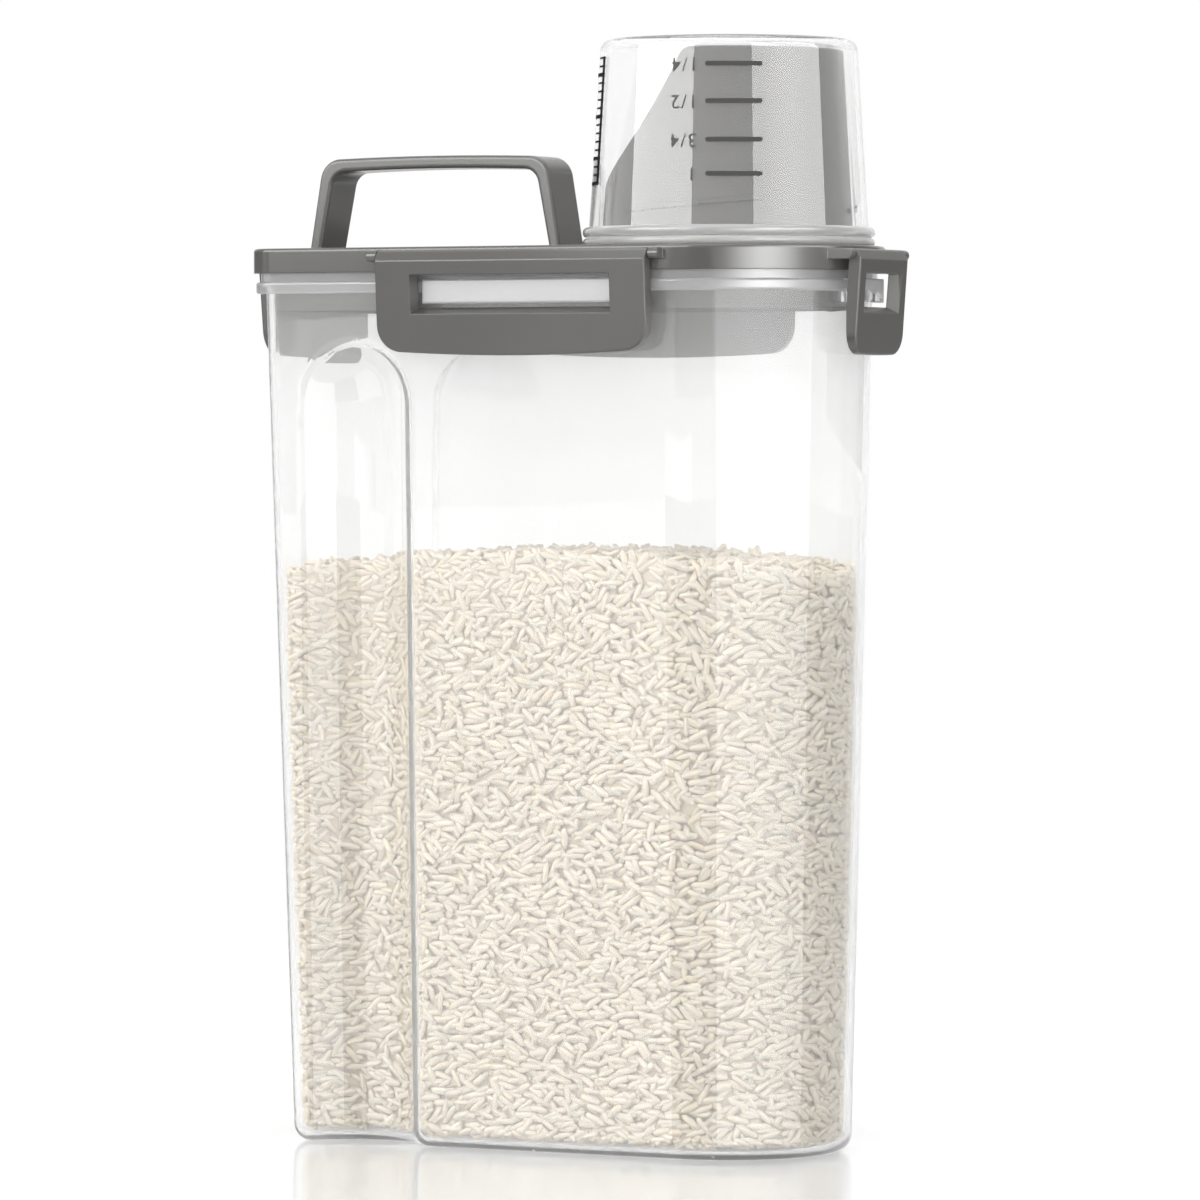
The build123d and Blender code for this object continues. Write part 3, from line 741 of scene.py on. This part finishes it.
    def _try_wall(
        self, batches: dict[RiceSide, list[Grain]], at: Vector, out: Vector, depth: float, tilt: float
    ) -> None:
        """Try to lay one grain against a wall, mostly level or slanting.

        Args:
            batches: the grains of each side.
            at: a point on the wall.
            out: the wall's outward normal there.
            depth: how far behind the wall the grain's middle lies.
            tilt: the spread of the angles at which grains lean into the rice.
        """
        height = at.z
        start = self.stretch_from
        if height > start:
            top = self._fill_top(at - out * self.core_inset)
            room = self.heap_height(at.x) - self.wall_top_gap - start
            height = start + (height - start) * room / (top - start)
        level = Vector((-out.y, out.x, 0.0)).normalized()
        steep = out.cross(level)
        spread = self.stray_spread if self._rng.random() < self.stray_share else self.lying_spread
        lean = math.radians(self._rng.normal(0.0, spread))
        axis = level * math.cos(lean) + steep * math.sin(lean)
        axis += out * self._slope(tilt, self.wall_tilt_limit)
        if abs(out.y) > self.long_side_from:
            side = RiceSide.FRONT if out.y < 0.0 else RiceSide.REAR
        else:
            side = RiceSide.SPOUT_END if out.x > 0.0 else RiceSide.GRIP_END
        self._try(batches[side], Vector((at.x, at.y, height)) - out * depth, axis, out)

    def _try_heap(self, batch: list[Grain], x: float, y: float, depth: float) -> None:
        """Try to lay one grain on top of the heap; one with a negative depth stands proud."""
        axis = self._any_way_round(self.proud_tilt if depth < 0.0 else self.heap_tilt)
        height = self.heap_height(x) - depth - abs(self._rng.normal(0.0, self.heap_unevenness))
        centre = Vector((x, y, height))
        if self._depth(centre) > self.heap_wall_gap:
            self._try(batch, centre, axis, UP, push=False)

    def _try(
        self, batch: list[Grain], centre: Vector, axis: Vector, out: Vector, push: bool = True
    ) -> None:
        """Keep a grain if it has room.

        Args:
            batch: where the grain goes.
            centre: its middle.
            axis: the way it lies.
            out: the way its flatter side faces.
            push: whether it is moved inwards until it clears the wall, or given up where it doesn't.
        """
        axis = axis.normalized()
        size = float(np.clip(self._rng.normal(1.0, self.size_spread), *self.size_limits))
        roll = math.radians(self._rng.normal(0.0, self.roll_spread))
        reach = self.grain_length / 2 * size
        centre = self._clear_of_wall(centre, axis, out, reach, push)
        if centre is None:
            return
        cell = self.spacing
        spots = [centre + axis * (reach * share) for share in self.spots]
        keys = [tuple(math.floor(part / cell) for part in spot) for spot in spots]
        for spot, (i, j, k) in zip(spots, keys):
            for di, dj, dk in product((-1, 0, 1), repeat=3):
                for other in self._taken.get((i + di, j + dj, k + dk), ()):
                    if (other - spot).length_squared < cell * cell:
                        return
        for spot, key in zip(spots, keys):
            self._taken.setdefault(key, []).append(spot)
        facing = (out - axis * out.dot(axis)).normalized()
        facing = Matrix.Rotation(roll, 3, axis) @ facing
        across = facing.cross(axis)
        batch.append(Grain(centre, Matrix((across, facing, axis)).transposed(), size))

    def _clear_of_wall(
        self, centre: Vector, axis: Vector, out: Vector, reach: float, push: bool
    ) -> Vector | None:
        """Return the middle of a grain that clears the wall, or None."""
        thick = self.grain_thickness / 2
        short = 0.0
        for share, width in zip(self.outline_places, self.outline_widths):
            short = max(short, thick * width - self._depth(centre + axis * (reach * share)))
        if short > (self.furthest_push if push else 0.0):
            return None
        return centre - out * short

    def _merge(
        self, name: str, batch: list[Grain], corners: np.ndarray, faces: list[tuple[int, ...]]
    ) -> Piece:
        """Copy the grain into one piece.

        Args:
            name: the piece's name.
            batch: its grains.
            corners: the points of one grain.
            faces: the faces of one grain.

        Returns:
            The new piece.
        """
        rng = np.random.default_rng(self.seed + len(name))
        turns = np.array([[list(row) for row in grain.turn] for grain in batch])
        centres = np.array([tuple(grain.centre) for grain in batch])
        sizes = np.array([grain.size for grain in batch])
        stout = rng.normal(1.0, self.stout_spread, len(sizes)).clip(*self.stout_limits)
        scaled = corners[None] * np.stack([sizes * stout, sizes * stout, sizes], axis=1)[:, None, :]
        points = np.einsum("gij,gpj->gpi", turns, scaled) + centres[:, None]
        count = len(corners)
        all_faces = [tuple(i + g * count for i in face) for g in range(len(sizes)) for face in faces]
        mesh = bpy.data.meshes.new(name)
        mesh.from_pydata(points.reshape(-1, 3).tolist(), [], all_faces)
        mesh.shade_smooth()
        set_tone(mesh, np.repeat(rng.beta(*self.tone_shape, len(sizes)), count))
        return new_object(name, mesh)


@dataclass
class Tub:
    """The clear tub."""

    flange_from: float = 240.3 * MM
    bars_from: float = 237.2 * MM
    bars_to: float = 244.2 * MM
    bars_beyond: float = 43.2 * MM
    # painted light: the catch bars' near-white stands in for light scattered and reflected inside the clear
    # bars
    bar_painted_white: Colour = (0.95, 0.95, 0.95)

    def dress(self) -> None:
        """Give the tub its clear plastic, and its thick flange and catch bars a paler, less clear one whose
        milky white is painted light standing in for light scattered and reflected in them.
        """
        node = NODES["tub"]
        dress(node, ClearPlastic("tub_styrene").material())
        # painted light: the flange's milky grey stands in for the bands of light reflected in the thick
        # clear flange
        flange = MilkyAndPaintedLightPlastic("tub_flange_painted_light").material()
        # painted light: the bars' white, half-clear finish stands in for light scattered and reflected in
        # the clear catch bars
        bars = MilkyAndPaintedLightPlastic("tub_bars_painted_light", self.bar_painted_white, roughness=0.30, clearness=0.35).material()
        dress_faces(node, flange, lambda at: at.z > self.flange_from)
        dress_faces(node, bars, self._on_bar)
        node.visible_shadow = False

    def _on_bar(self, at: Vector) -> bool:
        """Say whether a face belongs to the outside of a long catch bar."""
        return abs(at.y) > self.bars_beyond and self.bars_from < at.z < self.bars_to


@dataclass
class Lid:
    """The lid with its latches and what is fixed to it."""

    grey: Names = ("lid", "pour_spout")
    rounded: Names = ("handle",)
    soft: Names = ("lid_gasket", "spout_seal")
    pins: Names = tuple(f"hinge_pin_{side}" for side in SIDES)
    latches: Names = tuple(f"latch_{side}" for side in SIDES)
    latch_colour: Colour = (0.107, 0.104, 0.0995)

    def dress(self) -> None:
        """Give the grey pieces satin, the latches a touch darker, the rings silicone and the pins steel."""
        silicone = MilkyAndPaintedLightPlastic(
            "seal_silicone",
            (0.82, 0.82, 0.81),
            clearness=0.5,
            ior=SILICONE_IOR,
            cloud_scale=90.0,
            darkest=0.96,
            unevenness=0.25,
            relief=2.0 * MM,
        )
        finishes = (
            (self.grey, SatinPlastic("lid_grey")),
            (self.rounded, SatinPlastic("handle_grey", roughness=0.22, edge=0.6 * MM)),
            (self.soft, silicone),
            (self.pins, PinSteel("pin_wire")),
            (self.latches, SatinPlastic("latch_grey", self.latch_colour, roughness=0.24, crown=2.3)),
        )
        for names, finish in finishes:
            material = finish.material()
            for name in names:
                dress(NODES[name], material)
        for name in self.soft:
            NODES[name].visible_shadow = False


class MarkTone(Enum):
    """Inks of the cup's marks."""

    BAR = "bar_ink"
    FIGURE = "figure_ink"
    SCALE = "scale_ink"


@dataclass
class MeasuringCup:
    """The clear cup with its printed measure marks."""

    mark_heights: Row = (302.8 * MM, 292.5 * MM, 281.9 * MM, 272.5 * MM)
    mark_figures: Names = ("1/4", "1/2", "3/4", "1")
    bar_angle: float = 29.0
    bar_length: float = 15.8 * MM
    bar_height: float = 1.3 * MM
    bar_round: float = 0.49
    bar_strips: int = 22
    figure_angle: float = 7.8
    figure_right: float = 3.7 * MM
    figure_height: float = 5.4 * MM
    figure_spacing: float = 1.18
    figure_bold: float = 0.012 * MM
    scale_angle: float = -45.4
    scale_top: float = 305.9 * MM
    scale_bottom: float = 270.3 * MM
    scale_line: float = 2.0 * MM
    tick_first: float = 305.6 * MM
    tick_step: float = 2.33 * MM
    tick_count: int = 16
    tick_size: Pair = (5.5 * MM, 0.5 * MM)
    bold_ticks: tuple[int, ...] = (2, 7, 12, 15)
    bold_tick_size: Pair = (8.0 * MM, 1.0 * MM)
    stroke_cuts: int = 7
    start_radius: float = 60.0 * MM
    bead_beyond: float = 39.45 * MM
    # painted light: the bead's pale tint stands in for light scattered and reflected in the clear cup's
    # bead
    bead_painted_white: Colour = (0.92, 0.92, 0.92)
    ink_gap: float = 0.02 * MM
    ink_thickness: float = 0.06 * MM
    marks: dict[MarkTone, list[Piece]] = field(default_factory=dict)

    def build(self) -> dict[MarkTone, list[Piece]]:
        """Model the marks and wrap them on the cup.

        Returns:
            The printed pieces of each ink.
        """
        bar = self._model_bar()
        bars = []
        figures = []
        for index, (height, figure) in enumerate(zip(self.mark_heights, self.mark_figures), 1):
            copy = new_object(f"cup_bar_{index}", bar.data.copy())
            bars.append(self._wrap(copy, self.bar_angle, height))
            text = self._model_figure(f"cup_figure_{index}", figure)
            figures.append(self._wrap(text, self.figure_angle, height))
        bpy.data.objects.remove(bar)
        middle = (self.scale_top + self.scale_bottom) / 2
        scale = self._wrap(self._model_scale(middle), self.scale_angle, middle)
        self.marks = {MarkTone.BAR: bars, MarkTone.FIGURE: figures, MarkTone.SCALE: [scale]}
        return self.marks

    def dress(self) -> None:
        """Give the cup its clear plastic and the marks their inks."""
        cup = NODES["measuring_cup"]
        dress(cup, ClearPlastic("cup_styrene", clearness=0.97, flow=0.03, milkiness=0.6).material())
        # painted light: the clear cup's bead gets a pale, half-clear finish standing in for its highlights
        # and scattered light
        bead = MilkyAndPaintedLightPlastic("cup_bead_painted_light", self.bead_painted_white).material()
        dress_faces(cup, bead, lambda at: math.hypot(at.x - SPOUT_AXIS_X, at.y) > self.bead_beyond)
        cup.visible_shadow = False
        inks = {
            MarkTone.BAR: (0.075, 0.074, 0.072),
            MarkTone.FIGURE: (0.12, 0.12, 0.118),
            MarkTone.SCALE: (0.008, 0.008, 0.008),
        }
        for tone, pieces in self.marks.items():
            ink = PrintInk(tone.value, inks[tone]).material()
            for piece in pieces:
                dress(piece, ink)
                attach(piece, "cup")

    def _model_bar(self) -> Piece:
        """Model one flat bar with round ends, cut into strips so that it can bend."""
        bar = Bench.sheet(self.bar_length, self.bar_height)
        Bench.pick(bar, lambda at: True)
        bpy.ops.mesh.bevel(offset=self.bar_height * self.bar_round, segments=6, affect="VERTICES")
        for strip in range(1, self.bar_strips):
            bpy.ops.mesh.select_all(action="SELECT")
            at = self.bar_length * (strip / self.bar_strips - 0.5)
            bpy.ops.mesh.bisect(plane_co=(at, 0.0, 0.0), plane_no=(1.0, 0.0, 0.0))
        Bench.done()
        return bar

    def _model_figure(self, name: str, figure: str) -> Piece:
        """Model one upside-down figure as a flat mesh."""
        Bench.clear()
        bpy.ops.object.text_add()
        text = bpy.context.object
        text.data.body = figure
        text.data.size = self.figure_height
        text.data.space_character = self.figure_spacing
        text.data.offset = self.figure_bold
        text.data.align_x = "LEFT"
        text.data.align_y = "CENTER"
        Bench.take(text)
        bpy.ops.object.convert(target="MESH")
        text = bpy.context.object
        text.name = name
        Bench.edit(text)
        bpy.ops.mesh.remove_doubles(threshold=MERGE_WITHIN)
        bpy.ops.transform.rotate(value=math.pi, orient_axis="Z", center_override=ORIGIN)
        bpy.ops.transform.translate(value=(self.figure_right, 0.0, 0.0))
        Bench.done()
        return text

    def _model_scale(self, middle: float) -> Piece:
        """Model the ruled scale about its middle height: one long line with ticks to its left."""
        strokes = [(0.0, 0.0, self.scale_line, self.scale_top - self.scale_bottom)]
        for index in range(self.tick_count):
            length, weight = self.bold_tick_size if index in self.bold_ticks else self.tick_size
            height = self.tick_first - index * self.tick_step - middle
            strokes.append((-length / 2, height, length, weight))
        pieces = []
        for x, y, wide, high in strokes:
            pieces.append(Bench.sheet(wide, high))
            bpy.ops.mesh.subdivide(number_cuts=self.stroke_cuts)
            bpy.ops.transform.translate(value=(x, y, 0.0))
            Bench.done()
        scale = Bench.join(pieces)
        scale.name = "cup_scale"
        return scale

    def _wrap(self, piece: Piece, degrees: float, height: float) -> Piece:
        """Lay a flat mark on the cup's outside and give it the thickness of ink.

        Args:
            piece: a flat piece in its own XY plane, facing +Z.
            degrees: angle round the cup.
            height: height of the mark's middle.

        Returns:
            The piece, at the origin.
        """
        out = plan_direction(degrees)
        turn = Matrix((plan_direction(degrees + 90.0), UP, out)).transposed().to_4x4()
        middle = Vector((SPOUT_AXIS_X, 0.0, height)) + out * self.start_radius
        piece.matrix_world = Matrix.Translation(middle) @ turn
        bpy.context.view_layer.update()
        wrap = piece.modifiers.new("wrap", "SHRINKWRAP")
        wrap.wrap_method = "PROJECT"
        wrap.target = NODES["measuring_cup"]
        wrap.use_project_z = True
        wrap.use_negative_direction = True
        wrap.use_positive_direction = False
        wrap.offset = self.ink_gap
        ink = piece.modifiers.new("ink", "SOLIDIFY")
        ink.thickness = self.ink_thickness
        ink.offset = 1.0
        Bench.apply(piece)
        Bench.settle(piece)
        return piece


@dataclass(frozen=True)
class Card:
    """An upright card beside the object, which only gloss shows.

    The card stands at an angle and spans some degrees, from a bottom to a top height. Its brightness is
    a level with a lift towards its middle and a slant towards its right edge. A near card stands close
    round the spout's axis, the others further off round the whole object.
    """

    name: str
    angle: float
    span: float
    bottom: float
    top: float
    level: float
    lift: float = 0.0
    slant: float = 0.0
    near: bool = False


@dataclass
class Studio:
    """A pale floor, soft lamps, cards for the gloss and a white surround."""

    floor_size: float = 14.0
    floor_colour: Colour = (0.72, 0.72, 0.72)
    floor_lift: float = 0.25
    floor_gloss: float = 1.05
    floor_roughness: float = 0.12
    white_from: float = 0.25
    white_to: float = 0.95
    polish_angle: float = 27.86
    polish_ahead: float = 0.09
    polish_to: float = 0.10
    dull_from: float = 0.20
    key_angle: float = 30.0
    key_level: float = 0.8
    key_distance: float = 0.95
    key_size: Pair = (1.1, 1.1)
    back_angle: float = 208.0
    back_level: float = 0.9
    top_level: float = 2.6
    top_height: float = 1.25
    top_size: float = 0.9
    surround_level: float = 0.70
    near_distance: float = 0.35
    card_distance: float = 1.25
    cards: tuple[Card, ...] = (
        Card("tub_front", -41.25, 37.5, -0.08, 0.165, 2.0, near=True),
        Card("tub_corner", -2.9, 39.2, -0.08, 0.165, 0.0, near=True),
        Card("tub_right", 55.75, 78.0, -0.08, 0.235, 2.6, lift=0.8, near=True),
        Card("tub_edge", 122.0, 54.0, -0.08, 0.165, 0.3, near=True),
        Card("lid_right", 54.0, 74.0, 0.235, 0.34, 1.8, lift=16.0),
        Card("cup_right", 80.0, 64.0, 0.36, 1.2, 8.0, lift=2.0),
        Card("cup_left", -31.0, 58.0, 0.36, 1.2, 9.6),
        Card("cup_middle", 23.0, 49.0, 0.36, 1.2, 1.5),
        Card("lid_middle", 1.0, 30.0, 0.16, 0.34, 0.1),
        Card("latch_left", -20.0, 36.0, 0.03, 0.14, 0.0, slant=4.0),
        Card("handle_left", -28.0, 24.0, 0.295, 0.355, 7.0),
        Card("lid_left", -30.0, 32.0, 0.2, 0.292, 0.15),
        Card("latch_right", 150.0, 36.0, -0.1, 0.158, 0.7),
        Card("low_right", 140.0, 56.0, 0.16, 0.34, 0.1),
        Card("low_left", -91.0, 60.0, 0.258, 0.34, 0.1),
        Card("high_right", 140.0, 56.0, 0.36, 1.2, 0.5),
        Card("high_left", -91.0, 60.0, 0.36, 1.2, 0.8),
    )

    def build(self) -> None:
        """Build the floor, the lamps, the cards and the surround."""
        self._floor()
        self._lamps()
        for card in self.cards:
            self._stand(card)
        self._surround()

    @staticmethod
    def _seen(graph: Graph) -> Value:
        """Return 1 where the eye sees a surface straight, mirrored or through glass."""
        straight, mirrored, through = (
            graph.node("ShaderNodeLightPath", out=f"Is {ray} Ray")
            for ray in ("Camera", "Glossy", "Transmission")
        )
        bounces = graph.node("ShaderNodeLightPath", out="Diffuse Depth")
        return (straight + mirrored + through > 0.5) * (bounces < 0.5)

    def _floor(self) -> None:
        """Lay the floor: lit, shaded and polished near the object, plain white further out."""
        floor = Bench.plane(self.floor_size)
        floor.name = "floor"
        material, graph = start_material("pale_floor")
        far = graph.smooth_step(graph.distance(ORIGIN), self.white_from, self.white_to)
        ahead = plan_direction(self.polish_angle) * self.polish_ahead
        dull = graph.smooth_step(graph.distance(tuple(ahead)), self.polish_to, self.dull_from)
        sheen = graph.node("ShaderNodeFresnel", {"IOR": FLOOR_IOR})
        seen = self._seen(graph)
        matt = graph.node("ShaderNodeBsdfDiffuse", {"Color": (*self.floor_colour, 1.0)})
        lit = graph.node("ShaderNodeAddShader", {0: matt, 1: graph.glow(seen * self.floor_lift)})
        gloss = graph.node("ShaderNodeBsdfGlossy", {"Color": WHITE, "Roughness": self.floor_roughness})
        polish = sheen * (1.0 - dull) * seen * self.floor_gloss
        polished = graph.node("ShaderNodeMixShader", {0: polish, 1: lit, 2: gloss})
        white = graph.glow(1.0)
        graph.surface(graph.node("ShaderNodeMixShader", {0: far * seen, 1: polished, 2: white}))
        dress(floor, material)
        floor.visible_glossy = False

    def _lamp(
        self, name: str, at: Vector, target: Vector, size: Pair, level: float, mirrored: bool
    ) -> None:
        """Hang one soft lamp.

        Args:
            name: the lamp's name.
            at: its place.
            target: what it faces.
            size: its width and height.
            level: the brightness of its face, where 1 is white.
            mirrored: whether gloss shows it, or a card in its place.
        """
        lamp = bpy.data.lights.new(name, "AREA")
        lamp.shape = "RECTANGLE"
        lamp.size, lamp.size_y = size
        lamp.energy = level * math.pi * size[0] * size[1]
        hung = new_object(name, lamp)
        hung.location = at
        hung.rotation_euler = (target - at).to_track_quat("-Z", "Y").to_euler()
        hung.visible_camera = False
        hung.visible_transmission = False
        hung.visible_glossy = mirrored

    def _lamps(self) -> None:
        """Stand the large panels in front and behind, and hang the soft top light."""
        middle = UP * (self.key_size[1] / 2)
        for name, angle, level in (
            ("key_panel", self.key_angle, self.key_level),
            ("back_panel", self.back_angle, self.back_level),
        ):
            at = plan_direction(angle) * self.key_distance + middle
            self._lamp(name, at, middle, self.key_size, level, False)
        top = UP * self.top_height
        self._lamp("top_panel", top, Vector(), (self.top_size, self.top_size), self.top_level, True)

    def _stand(self, card: Card) -> None:
        """Stand one bright or dark card beside the object."""
        name = f"card_{card.name}"
        material, graph = start_material(name)
        across = graph.along_x(graph.node("ShaderNodeTexCoord", out="UV"))
        hump = across * (1.0 - across) * 4.0
        graph.surface(graph.glow(card.level + hump * hump * hump * card.lift + across * card.slant))
        distance = self.near_distance if card.near else self.card_distance
        about_x = SPOUT_AXIS_X if card.near else 0.0
        at = plan_direction(card.angle) * distance
        stood = Bench.plane(
            location=(at.x + about_x, at.y, (card.bottom + card.top) / 2),
            rotation=(math.pi / 2, 0.0, math.radians(card.angle)),
        )
        stood.name = name
        width = 2.0 * distance * math.tan(math.radians(card.span / 2))
        stood.scale = (width, card.top - card.bottom, 1.0)
        Bench.settle(stood)
        dress(stood, material)
        for ray in ("camera", "diffuse", "transmission", "shadow"):
            setattr(stood, f"visible_{ray}", False)

    def _surround(self) -> None:
        """Make the surround white to the eye and a plain fill to the lamps' side."""
        world = bpy.data.worlds.new("surround")
        world.use_nodes = True
        bpy.context.scene.world = world
        graph = Graph(world.node_tree)
        strength = self.surround_level + self._seen(graph) * (1.0 - self.surround_level)
        back = graph.node("ShaderNodeBackground", {"Color": WHITE, "Strength": strength})
        graph.node("ShaderNodeOutputWorld", {"Surface": back})


@dataclass
class Viewpoint:
    """The camera, fitted to the photograph's edges."""

    place: Triple = (0.9826, -1.8525, 0.2043)
    heading: float = 27.86
    pitch: float = 1.377
    lens: float = 222.465
    sensor: float = 36.0
    nearest: float = 0.05
    furthest: float = 60.0

    def build(self) -> None:
        """Place the camera and make it the scene's own."""
        camera = bpy.data.cameras.new("camera")
        camera.lens = self.lens
        camera.sensor_width = self.sensor
        camera.sensor_fit = "HORIZONTAL"
        camera.clip_start = self.nearest
        camera.clip_end = self.furthest
        holder = new_object("camera", camera)
        holder.location = self.place
        holder.rotation_euler = (math.radians(90.0 - self.pitch), 0.0, math.radians(self.heading))
        bpy.context.scene.camera = holder


def main() -> None:
    """Build and dress the container, then set the studio."""
    logging.basicConfig(level=logging.INFO, format="%(name)s: %(message)s")
    Bench.clear()
    bpy.context.scene.view_settings.view_transform = "Standard"
    Viewpoint().build()
    rice = RiceHeap()
    for piece in rice.build():
        LOG.info("%s: %d faces", piece.name, len(piece.data.polygons))
    rice.dress()
    Tub().dress()
    Lid().dress()
    cup = MeasuringCup()
    for tone, pieces in cup.build().items():
        for piece in pieces:
            LOG.info("%s in %s: %d faces", piece.name, tone.value, len(piece.data.polygons))
    cup.dress()
    Studio().build()
    Bench.clear()


if __name__ == "__main__":
    main()
